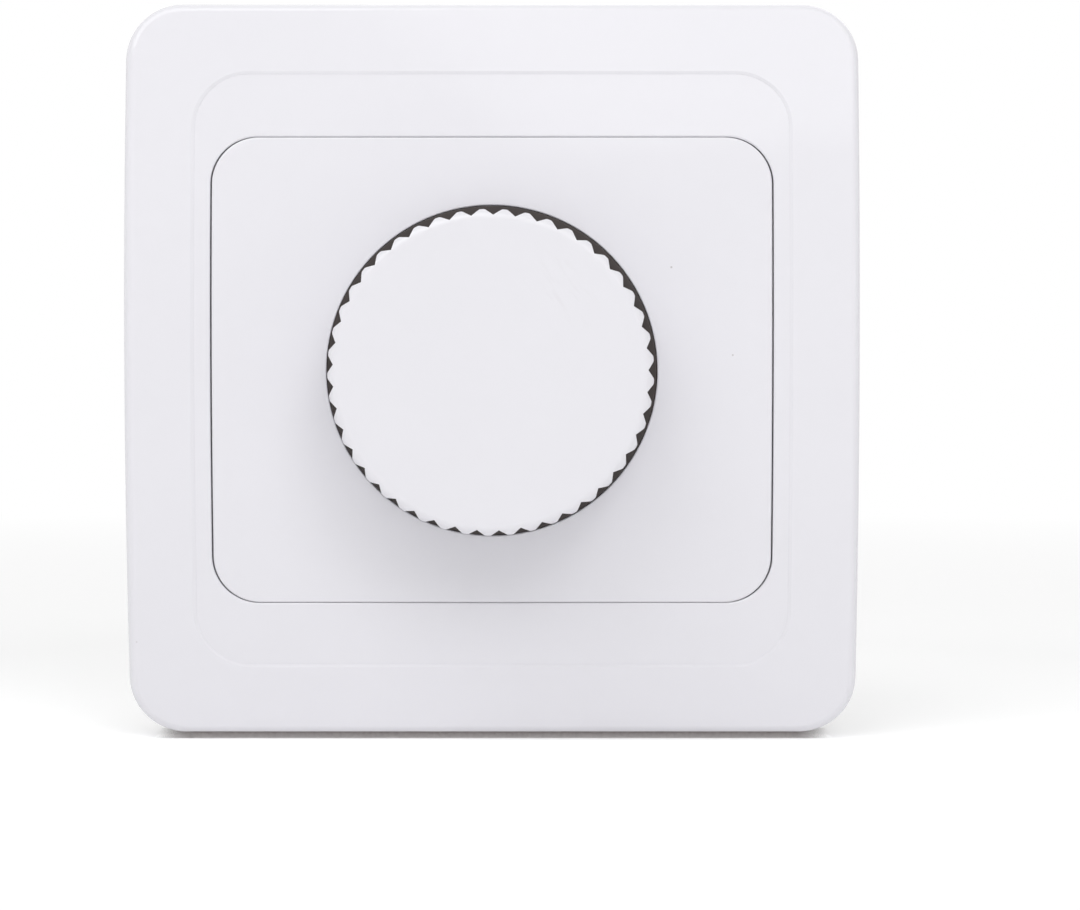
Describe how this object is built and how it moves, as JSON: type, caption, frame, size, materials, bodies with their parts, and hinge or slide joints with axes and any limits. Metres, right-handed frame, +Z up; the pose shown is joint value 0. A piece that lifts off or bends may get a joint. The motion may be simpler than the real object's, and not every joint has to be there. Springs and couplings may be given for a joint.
{
  "type": "dimmer switch",
  "caption": "White rotary wall dimmer: arched square cover frame, centre plate and toothed knob, on a steel bridge with spreader claws and a rear casing for a flush box.",
  "frame": {"origin": "on the knob's axis, in the wall plane at the rear face of the bridge", "axes": "+X to the right seen from the front, +Z up the wall, -Y out of the wall towards the user"},
  "size_m": [0.082, 0.0453, 0.082],
  "materials": {
    "white_plastic": "smooth moulded white",
    "collar_plastic": "dark grey moulded",
    "casing_plastic": "dark grey moulded",
    "zinc_steel": "zinc plated sheet",
    "screw_steel": "zinc plated",
    "nickel_brass": "nickel plated brass",
    "shaft_metal": "turned",
    "terminal_brass": "bare brass",
    "terminal_screw_steel": "zinc plated",
    "wafer_laminate": "paper laminate",
    "black_plastic": "moulded black",
    "board_laminate": "green lacquered laminate",
    "aluminium": "bent sheet",
    "ferrite": "sintered ferrite",
    "copper_wire": "lacquered copper wire",
    "capacitor_case": "moulded yellow",
    "resistor_body": "lacquered",
    "diac_body": "sealed glass",
    "fuse_body": "ceramic tube with plated caps"
  },
  "bodies": {
    "base": {"frame": "white_plastic", "centre_plate": "white_plastic", "knob_collar": "collar_plastic", "base_housing": "casing_plastic", "bridge": "zinc_steel", "pot_case": "zinc_steel", "pot_washer": "zinc_steel", "housing_screws": "screw_steel", "triac_screw": "screw_steel", "triac_nut": "screw_steel", "plate_nut": "nickel_brass", "pot_nut": "nickel_brass", "pot_bush": "nickel_brass", "terminal_clamps": "terminal_brass", "fuse_clips": "terminal_brass", "pot_terminals": "terminal_brass", "terminal_screws": "terminal_screw_steel", "pot_wafer": "wafer_laminate", "switch_block": "black_plastic", "triac": "black_plastic", "circuit_board": "board_laminate", "heat_sink": "aluminium", "choke_core": "ferrite", "choke_winding": "copper_wire", "capacitor": "capacitor_case", "resistors": "resistor_body", "diac": "diac_body", "fuse": "fuse_body"},
    "control": {"knob": "white_plastic", "knob_spring": "screw_steel", "pot_shaft": "shaft_metal", "wiper_carrier": "black_plastic", "wiper_contact": "terminal_brass"},
    "left_claw": {"claw_left": "zinc_steel"},
    "right_claw": {"claw_right": "zinc_steel"},
    "left_claw_screw": {"claw_screw_left": "screw_steel"},
    "right_claw_screw": {"claw_screw_right": "screw_steel"}
  },
  "joints": [
    {"name": "knob_turn", "type": "hinge", "parent": "base", "child": "control", "pos_m": [0, 0, 0], "axis": [0, 1, 0], "range_deg": [0, 290]},
    {"name": "left_claw_swing", "type": "hinge", "parent": "base", "child": "left_claw", "pos_m": [-0.018, 0.005, 0], "axis": [0, 0, 1], "range_deg": [0, 25]},
    {"name": "left_claw_screw_turn", "type": "hinge", "parent": "base", "child": "left_claw_screw", "pos_m": [-0.023, 0, 0], "axis": [0, 1, 0], "range_deg": [0, 1675]},
    {"name": "right_claw_swing", "type": "hinge", "parent": "base", "child": "right_claw", "pos_m": [0.018, 0.005, 0], "axis": [0, 0, -1], "range_deg": [0, 25]},
    {"name": "right_claw_screw_turn", "type": "hinge", "parent": "base", "child": "right_claw_screw", "pos_m": [0.023, 0, 0], "axis": [0, 1, 0], "range_deg": [0, 1675]}
  ],
  "couplings": [
    {"joint": "left_claw_screw_turn", "follows": "left_claw_swing", "ratio": 67},
    {"joint": "right_claw_screw_turn", "follows": "right_claw_swing", "ratio": 67}
  ]
}
